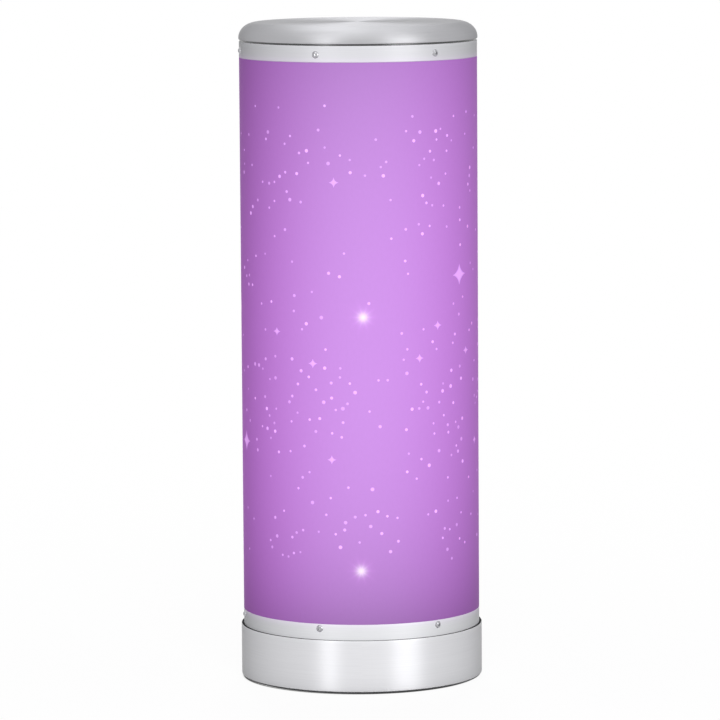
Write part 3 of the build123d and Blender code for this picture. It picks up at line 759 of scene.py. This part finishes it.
def film_finish(colours, printing):
    """Printed film lit from inside, with bright points, stars where the mesh says so, and painted shade and
    side light.
    """
    constants = {"Roughness": 0.5, "Emission Strength": 1.0, "Specular IOR Level": 0.02}
    finish = Finish("printed_film", constants)
    _, x, y, z = finish.place()
    low, high = node_span("star_sleeve")
    radius = node_radius("star_sleeve")
    angle = x.math("ARCTAN2", x, -1.0 * y)
    fibres = finish.noise(finish.joined(FIBRES_ROUND * angle, FIBRES_UP * z, 0.0), 1.0)
    # Painted shade near the film's edges and painted side light, in both its colour and its glow
    low_fade = printing.low_fade * ((low - z) / printing.low_fade_reach).exp()
    high_fade = printing.high_fade * ((z - high) / printing.high_fade_reach).exp()
    painted_lean_rise = (printing.high_painted_lean - printing.low_painted_lean) / (high - low)
    painted_lean = 1.0 + x / radius * (painted_lean_rise * (z - low) + printing.low_painted_lean)
    weave = 1.0 - FIBRE_SHADE / 2 + FIBRE_SHADE * fibres
    light = (1.0 - low_fade - high_fade) * painted_lean * weave
    glow = finish.scaled(colours.glow[:], light)
    glow = finish.added(glow, colours.strip[:], light * (STRIPS * angle).wave())
    stars = finish.node("ShaderNodeAttribute", {}, output="Fac", attribute_name="star")
    glow = finish.added(glow, colours.star[:], stars)
    half_strip = pi / STRIPS
    along = radius * angle.math("WRAP", angle, half_strip, -half_strip)
    for height, turn in ((printing.low_sparkle, 0.0), (printing.high_sparkle, printing.high_turn)):
        rise = z - height
        across = along - radius * turn
        reach = across.length(rise)
        ray_angle = RAYS * rise.math("ARCTAN2", rise, across)
        rays = RAY_LEAST + RAY_ADDED * ray_angle.wave() ** RAY_NARROW
        glow = finish.added(glow, colours.halo[:], rays * reach.bell(printing.sparkle_halo))
        glow = finish.added(glow, colours.core[:], reach.bell(printing.sparkle_core))
    # The film's colour carries the painted shade and side light of the fades and leans
    finish.paint("Base Color", finish.scaled(colours.film[:], light))
    finish.paint("Emission Color", glow)
    finish.bump(fibres, FIBRE_DEPTH, FIBRE_BUMP)
    return finish.material


def plain_finish(name, colour, roughness, metallic=0.0, grain=900.0, depth=0.02 * MM, sheen=0.5):
    """Moulded, painted or plated surface with a fine grain."""
    finish = Finish(name, {"Metallic": metallic, "Specular IOR Level": sheen})
    vector = finish.place()[0]
    fine = finish.noise(vector, grain)
    broad = finish.noise(vector, grain / PLAIN_BROADER, detail=2.0)
    dark, pale = opaque(colour, 1.0 - PLAIN_SPREAD), opaque(colour, 1.0 + PLAIN_SPREAD)
    finish.paint("Base Color", finish.mixed(0.5 * fine + 0.5 * broad, dark, pale))
    finish.paint("Roughness", roughness - PLAIN_ROUGHNESS / 2 + PLAIN_ROUGHNESS * fine)
    finish.bump(fine, depth, PLAIN_BUMP)
    return finish.material


def outline_mesh(points, closed=False):
    """A new mesh that holds an outline of radius and height, in the plane of the axis."""
    mesh = bmesh.new()
    corners = [mesh.verts.new((radius, 0.0, height)) for radius, height in points]
    ends = corners[1:] + corners[:1] if closed else corners[1:]
    for first, second in zip(corners, ends):
        mesh.edges.new((first, second))
    return mesh


def round_corners(mesh, corners, radius, segments=3):
    """Rounds some corners of an outline."""
    bmesh.ops.bevel(mesh, geom=corners, offset=radius, offset_type="OFFSET", affect="VERTICES",
                    segments=segments, profile=0.5, material=-1)


def spin_round(mesh, steps):
    """Spins an outline round the axis into a closed shell, its long flats divided to shade flat."""
    flats = [edge for edge in mesh.edges if edge.calc_length() > LONG_EDGE]
    bmesh.ops.subdivide_edges(mesh, edges=flats, cuts=LONG_EDGE_CUTS)
    outline = list(mesh.verts) + list(mesh.edges)
    bmesh.ops.spin(mesh, geom=outline, axis=(0, 0, 1), cent=(0, 0, 0), angle=2 * pi, steps=steps,
                   use_merge=True)
    bmesh.ops.remove_doubles(mesh, verts=mesh.verts, dist=MERGE_DISTANCE)
    bmesh.ops.recalc_face_normals(mesh, faces=mesh.faces)


def arc(centre, radii, start, end, steps):
    """Points on an elliptical arc, its angles counted in degrees from outwards to upwards."""
    turns = [radians(start + (end - start) * index / steps) for index in range(steps + 1)]
    return [(centre[0] + radii[0] * cos(turn), centre[1] + radii[1] * sin(turn)) for turn in turns]


def place_piece(name, mesh, material, slot, *nodes):
    """Turns a finished mesh into a piece of the lamp that stands for some CAD nodes."""
    data = bpy.data.meshes.new(name)
    mesh.to_mesh(data)
    mesh.free()
    data.materials.append(material)
    data.shade_smooth()
    data.set_sharp_from_angle(angle=SHARP_EDGE)
    piece = bpy.data.objects.new(name, data)
    bpy.context.scene.collection.objects.link(piece)
    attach(piece, LAMP)
    if nodes:
        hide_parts(*nodes)


def turned_band(node, wall, edge, steps):
    """A turned band as wide and high as a round CAD node, its edges rounded where a rounding is given."""
    radius = node_radius(node)
    low, high = node_span(node)
    bore = radius - wall
    mesh = outline_mesh([(bore, low), (radius, low), (radius, high), (bore, high)], closed=True)
    if edge:
        round_corners(mesh, list(mesh.verts), edge)
    spin_round(mesh, steps)
    return mesh


def facing(angle, radius, height):
    """Matrix that stands a shape on a round wall, its height looking straight out."""
    across = Vector((cos(angle), sin(angle), 0))
    out = Vector((sin(angle), -cos(angle), 0))
    turn = Matrix((across, Vector((0, 0, 1)), out)).transposed().to_4x4()
    return Matrix.Translation(radius * out + Vector((0, 0, height))) @ turn


def settings(context):
    """The four property groups of the scene."""
    scene = context.scene
    return scene.lamp_sizes, scene.lamp_print, scene.lamp_colours, scene.lamp_stage


class LAMP_OT_cap(bpy.types.Operator):
    """Makes the spun cap and the ring under it, its dark colour painted shade of the groove"""

    bl_idname = "lamp.cap"
    bl_label = "Cap"

    def execute(self, context):
        sizes, _, colours, _ = settings(context)
        radius = node_radius("top_cap")
        low, high = node_span("top_cap")
        wide, wall = sizes.cap_shoulder, sizes.cap_wall
        middle = (radius - wide, low + sizes.cap_side)
        tall = high - middle[1]
        outer = arc(middle, (wide, tall), 90, 0, sizes.shoulder_steps)
        inner = arc(middle, (wide - wall, tall - wall), 0, 90, sizes.shoulder_steps // 2)
        points = [(0, high), *outer, (radius, low), (radius - wall, low), *inner, (0, high - wall)]
        mesh = outline_mesh(points)
        rim = [corner for corner in mesh.verts if abs(corner.co.z - low) < SAME_PLACE]
        round_corners(mesh, rim, sizes.edge_round)
        spin_round(mesh, sizes.spin_steps)
        steel = turned_metal("cap_steel", colours.cap, metallic=0.9, roughness=0.5, streak=0.72)
        place_piece("spun_cap", mesh, steel.material, "brushed_steel", "top_cap")

        # The seal ring is a part of the lamp; its dark colour paints the shade and dark reflection of the
        # groove under the cap
        band = turned_band("cap_seal", sizes.seal_width, sizes.seal_round, sizes.spin_steps)
        gloss = plain_finish("seal_painted_shade", (0.09, 0.09, 0.092), roughness=0.25, metallic=1.0, depth=0.0)
        place_piece("seal_ring", band, gloss, "black_rubber", "cap_seal")
        return {"FINISHED"}


class LAMP_OT_collars(bpy.types.Operator):
    """Makes the two turned collars"""

    bl_idname = "lamp.collars"
    bl_label = "Collars"

    def execute(self, context):
        sizes, _, colours, _ = settings(context)
        for side, colour in (("lower", colours.lower_collar), ("upper", colours.upper_collar)):
            satin = collar_satin(side + "_satin", colour, colours.rim[:])
            node = side + "_collar"
            band = turned_band(node, sizes.collar_wall, sizes.edge_round, sizes.spin_steps)
            place_piece(side + "_band", band, satin, "satin_aluminium", node)
        return {"FINISHED"}


class LAMP_OT_collar_screws(bpy.types.Operator):
    """Makes the dome screws round both collars"""

    bl_idname = "lamp.collar_screws"
    bl_label = "Collar screws"

    def head(self, sizes):
        """One dome head with a hexagon socket, standing on the origin."""
        radius, dome, socket = sizes.screw_head, sizes.screw_dome, sizes.screw_socket
        ball = (radius**2 + dome**2) / (2 * dome)
        base = dome - ball
        start = degrees(atan2(-base, radius))
        rim = degrees(atan2((ball**2 - socket**2) ** 0.5, socket))
        curve = arc((0, base), (ball, ball), start, rim, DOME_FACETS)
        under = -sizes.screw_sink
        floor = SOCKET_EDGE * dome
        points = [(0, under), (radius, under), *curve, (socket, floor), (0, SOCKET_MIDDLE * floor)]
        mesh = outline_mesh(points)
        spin_round(mesh, HEAD_FACETS)
        # The round socket's corners are pushed out on to a hexagon
        for corner in mesh.verts:
            reach = hypot(corner.co.x, corner.co.y)
            if abs(reach - socket) < SAME_PLACE:
                turn = atan2(corner.co.y, corner.co.x) % HEXAGON_STEP - HEXAGON_STEP / 2
                corner.co.xy *= 1 / cos(turn)
        return mesh

    def execute(self, context):
        sizes = settings(context)[0]
        plated = plain_finish("plated_screws", (0.42, 0.42, 0.44), roughness=0.2, **PLATED)
        for side in ("lower", "upper"):
            node = side + "_collar_screws"
            low, high = node_span(node)
            radius = node_radius(side + "_collar")
            ring = bmesh.new()
            for index in range(sizes.screw_count):
                head = self.head(sizes)
                angle = sizes.screw_start + index * 2 * pi / sizes.screw_count
                head.transform(facing(angle, radius, (low + high) / 2))
                data = bpy.data.meshes.new("screw_head")
                head.to_mesh(data)
                ring.from_mesh(data)
                bpy.data.meshes.remove(data)
                head.free()
            place_piece(side + "_dome_screws", ring, plated, "plated_steel", node)
        return {"FINISHED"}


class LAMP_OT_film(bpy.types.Operator):
    """Makes the printed film round the tube, with its stars"""

    bl_idname = "lamp.film"
    bl_label = "Printed film"

    def scatter(self, printing, low, high):
        """Angle, height, radius and brightness of each printed dot."""
        draw = random.Random(printing.seed)
        drift_shares = [drift[2] for drift in DOT_DRIFTS]
        band_shares = [band[2] for band in DOT_BANDS]
        girth = 2 * pi * node_radius("star_sleeve")
        taken = []
        for angle, height, half_width, _ in FOUR_POINT_STARS:
            taken.append((girth * angle / 360, height * MM, half_width * MM))
        for height in (printing.low_sparkle, printing.high_sparkle):
            taken += [(girth * strip / STRIPS, height, printing.sparkle_halo) for strip in range(STRIPS)]
        for _ in range(printing.dot_count):
            drift = draw.choices(DOT_DRIFTS, drift_shares)[0]
            band = draw.choices(DOT_BANDS, band_shares)[0]
            angle = draw.gauss(*drift[:2])
            height = draw.gauss(*band[:2]) * MM
            along = girth * angle / 360
            # The square makes small dots more common than large ones
            size = printing.dot_small + (printing.dot_large - printing.dot_small) * draw.random() ** 2
            brightness = draw.uniform(printing.dot_dim, printing.dot_bright)
            gaps = [hypot((along - other + girth / 2) % girth - girth / 2, height - rise) - wide
                    for other, rise, wide in taken]
            if low < height < high and min(gaps) > printing.dot_gap - size:
                taken.append((along, height, size))
                yield radians(angle), height, size, brightness

    def add_mark(self, mesh, place, half_width, half_height, brightness, corners, pinch=None):
        """Adds one printed mark, a dot or a pointed star, wrapped round the film."""
        angle, height, radius, ink = place
        layer = mesh.verts.layers.float["star"]
        made = bmesh.ops.create_cone(mesh, cap_ends=True, cap_tris=True, segments=corners, radius1=1.0,
                                     radius2=MARK_TOP, depth=2.0)
        for corner in made["verts"]:
            across, up, top = corner.co
            reach = hypot(across, up)
            if pinch and reach > 0:
                pull = (abs(across / reach) ** pinch + abs(up / reach) ** pinch) ** (-1 / pinch)
                across, up = across * pull, up * pull
            turn = angle + half_width * across / radius
            out = radius + ink * top
            corner.co = (out * sin(turn), -out * cos(turn), height + half_height * up)
            corner[layer] = brightness if top > 0 else 0.0

    def execute(self, context):
        sizes, printing, colours, _ = settings(context)
        film = film_finish(colours, printing)
        tube = turned_band("star_sleeve", sizes.film_wall, 0.0, sizes.spin_steps)
        place_piece("film_sleeve", tube, film, "printed_film", "star_sleeve")

        radius = node_radius("star_sleeve")
        low, high = node_span("star_sleeve")
        dots = self.scatter(printing, low + printing.low_margin, high - printing.high_margin)
        marks = bmesh.new()
        marks.verts.layers.float.new("star")
        for angle, height, size, brightness in dots:
            place = (angle, height, radius, printing.ink)
            self.add_mark(marks, place, size, size, brightness, DOT_CORNERS)
        for angle, height, half_width, half_height in FOUR_POINT_STARS:
            place = (radians(angle), height * MM, radius, printing.ink)
            self.add_mark(marks, place, half_width * MM, half_height * MM, printing.star_bright,
                          STAR_CORNERS, STAR_PINCH)
        place_piece("star_print", marks, film, "printed_film")
        return {"FINISHED"}


class LAMP_OT_base(bpy.types.Operator):
    """Makes the base's metal trim, a dark ring on it that is painted shade of the gap, and the rubber ring
    that it stands on
    """

    bl_idname = "lamp.base"
    bl_label = "Base"

    def execute(self, context):
        sizes, _, colours, _ = settings(context)
        # The trim gets a painted shade over its lowest millimetres
        steel = turned_metal(
            "trim_steel", colours.steel, metallic=0.42, roughness=0.44, streak=0.87, painted_floor_shade=0.22
        )
        band = turned_band("base_trim", sizes.trim_wall, sizes.edge_round, sizes.spin_steps)
        place_piece("trim_band", band, steel.material, "brushed_steel", "base_trim")

        # A dark ring in the gap between trim and collar, as painted shade and painted dark reflection
        radius = node_radius("base_trim")
        high = node_span("base_trim")[1]
        collar = node_radius("lower_collar")
        slot = radius - sizes.trim_wall
        lip = radius - sizes.shade_ring_setback
        bottom, top = high - sizes.shade_ring_depth, high + sizes.shade_ring_rise
        points = [(collar, bottom), (slot, bottom), (slot, high), (lip, high), (lip, top), (collar, top)]
        shade_ring = outline_mesh(points, closed=True)
        round_corners(shade_ring, list(shade_ring.verts), sizes.shade_ring_round)
        spin_round(shade_ring, sizes.spin_steps)
        shade_ring_finish = plain_finish("painted_shade_ring", (0.03, 0.03, 0.032), roughness=0.7, depth=0.0, sheen=0.02)
        place_piece("trim_shade_ring", shade_ring, shade_ring_finish, "black_rubber")

        foot = node_radius("foot_ring")
        foot_low, foot_high = node_span("foot_ring")
        bore = foot - sizes.foot_width
        points = [(bore, foot_low)]
        for index in range(1, FOOT_STEPS):
            rise = sizes.foot_rib if index in FOOT_GROOVES else 0.0
            points.append((bore + index * sizes.foot_width / FOOT_STEPS, foot_low + rise))
        points += [(foot, foot_low), (foot, foot_high), (bore, foot_high)]
        mesh = outline_mesh(points, closed=True)
        round_corners(mesh, list(mesh.verts), sizes.foot_round, segments=2)
        spin_round(mesh, sizes.spin_steps)
        rubber = plain_finish(
            "foot_rubber", (0.012, 0.012, 0.012), roughness=0.75, grain=2500.0, sheen=0.08
        )
        place_piece("foot_band", mesh, rubber, "black_rubber", "foot_ring")
        return {"FINISHED"}


class LAMP_OT_inner_pieces(bpy.types.Operator):
    """Gives the moulded, electric and hidden pieces their finishes"""

    bl_idname = "lamp.inner_pieces"
    bl_label = "Inner pieces"

    def execute(self, context):
        for name, colour, roughness, others, nodes in INNER_FINISHES:
            material = plain_finish(name, colour, roughness, **others)
            for node in nodes:
                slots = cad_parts[node].data.materials
                slots.clear()
                slots.append(material)
        return {"FINISHED"}


class LAMP_OT_stage(bpy.types.Operator):
    """Makes the pale floor, the studio lights, the white background and the camera"""

    bl_idname = "lamp.stage"
    bl_label = "Studio stage"

    def add_light(self, name, place, aim, width, height, power, turn, mirrored):
        """Adds a soft rectangular light that only shows as a mirrored band, or only lights surfaces."""
        data = bpy.data.lights.new(name, "AREA")
        data.shape = "RECTANGLE"
        data.size = width
        data.size_y = height
        data.energy = power
        lamp = bpy.data.objects.new(name, data)
        lamp.location = place
        lamp.rotation_euler = (Vector(aim) - Vector(place)).to_track_quat("-Z", "Y").to_euler()
        lamp.rotation_euler.z += turn
        lamp.visible_camera = False
        lamp.visible_glossy = mirrored
        lamp.visible_diffuse = not mirrored
        bpy.context.scene.collection.objects.link(lamp)

    def add_floor(self):
        """Pale white floor, clear from below, with faint shadow, painted shade and painted contact shadow.
        """
        mesh = bmesh.new()
        bmesh.ops.create_circle(mesh, cap_ends=True, segments=FLOOR_CORNERS, radius=FLOOR_RADIUS)
        bmesh.ops.translate(mesh, verts=mesh.verts, vec=(0, 0, cad_box[0].z - FLOOR_GAP))
        data = bpy.data.meshes.new("floor")
        mesh.to_mesh(data)
        mesh.free()
        finish = Finish("floor_white", {"Roughness": 0.9})
        _, x, y, _ = finish.place()
        # Painted contact shadow: a dark ring on the floor just outside the foot, in its colour and in its
        # white
        edge = (x + PAINTED_SHADOW_SHIFT).length(y) - node_radius("foot_ring")
        painted_contact_shadow = (edge - PAINTED_SHADOW_OFFSET).bell(PAINTED_SHADOW_REACH)
        finish.paint("Base Color", finish.mixed(painted_contact_shadow, FLOOR_COLOUR, PAINTED_SHADOW_COLOUR))
        # Painted shade: the floor shows less white near the lamp, so its real shadow shows there
        shade = FLOOR_PAINTED_SHADE * (x.length(y) / -FLOOR_PAINTED_SHADE_REACH).exp()
        pale = finish.shown() * (1.0 - painted_contact_shadow) * (1.0 - shade)
        plain = Number(finish, finish.shader.outputs[0])
        white = finish.node("ShaderNodeEmission", {})
        lit = finish.node("ShaderNodeMixShader", {0: pale, 1: plain, 2: white})
        below = finish.node("ShaderNodeNewGeometry", {}, output="Backfacing")
        clear = finish.node("ShaderNodeBsdfTransparent", {})
        whole = finish.node("ShaderNodeMixShader", {0: below, 1: lit, 2: clear})
        finish.feed(finish.tree.nodes["Material Output"].inputs["Surface"], whole)
        data.materials.append(finish.material)
        floor = bpy.data.objects.new("floor", data)
        floor.visible_diffuse = False
        floor.visible_shadow = False
        bpy.context.scene.collection.objects.link(floor)

    def add_world(self, fill):
        """White background with a plain fill light."""
        world = bpy.data.worlds.new("studio")
        world.use_nodes = True
        nodes = Nodes(world.node_tree)
        background = nodes.tree.nodes["Background"].inputs
        background["Color"].default_value = (1.0, 1.0, 1.0, 1.0)
        nodes.feed(background["Strength"], fill + (1.0 - fill) * nodes.shown())
        bpy.context.scene.world = world

    def add_camera(self, stage):
        """Camera at the height and dip of the view."""
        data = bpy.data.cameras.new("camera")
        data.lens = stage.camera_lens
        data.sensor_width = SENSOR_WIDTH
        camera = bpy.data.objects.new("camera", data)
        stand = Matrix.Translation((0, -stage.camera_distance, stage.camera_height))
        dip = Matrix.Rotation(pi / 2 - stage.camera_dip, 4, "X")
        roll = Matrix.Rotation(stage.camera_roll, 4, "Z")
        camera.matrix_world = stand @ (dip @ roll)
        bpy.context.scene.collection.objects.link(camera)
        bpy.context.scene.camera = camera

    def execute(self, context):
        stage = settings(context)[3]
        for lights, mirrored in ((PANELS, False), (MIRRORED_LIGHTS, True)):
            for name, place, aim, width, height, power, share, turn in lights:
                watts = share * getattr(stage, power)
                self.add_light(name, place, aim, width, height, watts, turn, mirrored)
        self.add_floor()
        self.add_world(stage.fill)
        self.add_camera(stage)
        context.scene.view_settings.view_transform = "Standard"
        return {"FINISHED"}


class LAMP_PT_panel(bpy.types.Panel):
    """Sidebar panel with the lamp's pieces and sizes"""

    bl_idname = "LAMP_PT_panel"
    bl_label = "Star column lamp"
    bl_space_type = "VIEW_3D"
    bl_region_type = "UI"
    bl_category = "Lamp"

    def draw(self, context):
        for operator in OPERATORS:
            self.layout.operator(operator.bl_idname)
        for group in settings(context):
            for name in group.__annotations__:
                self.layout.prop(group, name)


PROPERTY_GROUPS = {
    "lamp_sizes": LampSizes,
    "lamp_print": LampPrint,
    "lamp_colours": LampColours,
    "lamp_stage": LampStage,
}
OPERATORS = (
    LAMP_OT_cap,
    LAMP_OT_collars,
    LAMP_OT_collar_screws,
    LAMP_OT_film,
    LAMP_OT_base,
    LAMP_OT_inner_pieces,
    LAMP_OT_stage,
)


def register():
    for name, group in PROPERTY_GROUPS.items():
        bpy.utils.register_class(group)
        setattr(bpy.types.Scene, name, PointerProperty(type=group))
    for cls in (*OPERATORS, LAMP_PT_panel):
        bpy.utils.register_class(cls)


def unregister():
    for cls in (LAMP_PT_panel, *reversed(OPERATORS)):
        bpy.utils.unregister_class(cls)
    for name, group in PROPERTY_GROUPS.items():
        delattr(bpy.types.Scene, name)
        bpy.utils.unregister_class(group)


def main():
    register()
    bpy.ops.lamp.cap()
    bpy.ops.lamp.collars()
    bpy.ops.lamp.collar_screws()
    bpy.ops.lamp.film()
    bpy.ops.lamp.base()
    bpy.ops.lamp.inner_pieces()
    bpy.ops.lamp.stage()


if __name__ == "__main__":
    main()
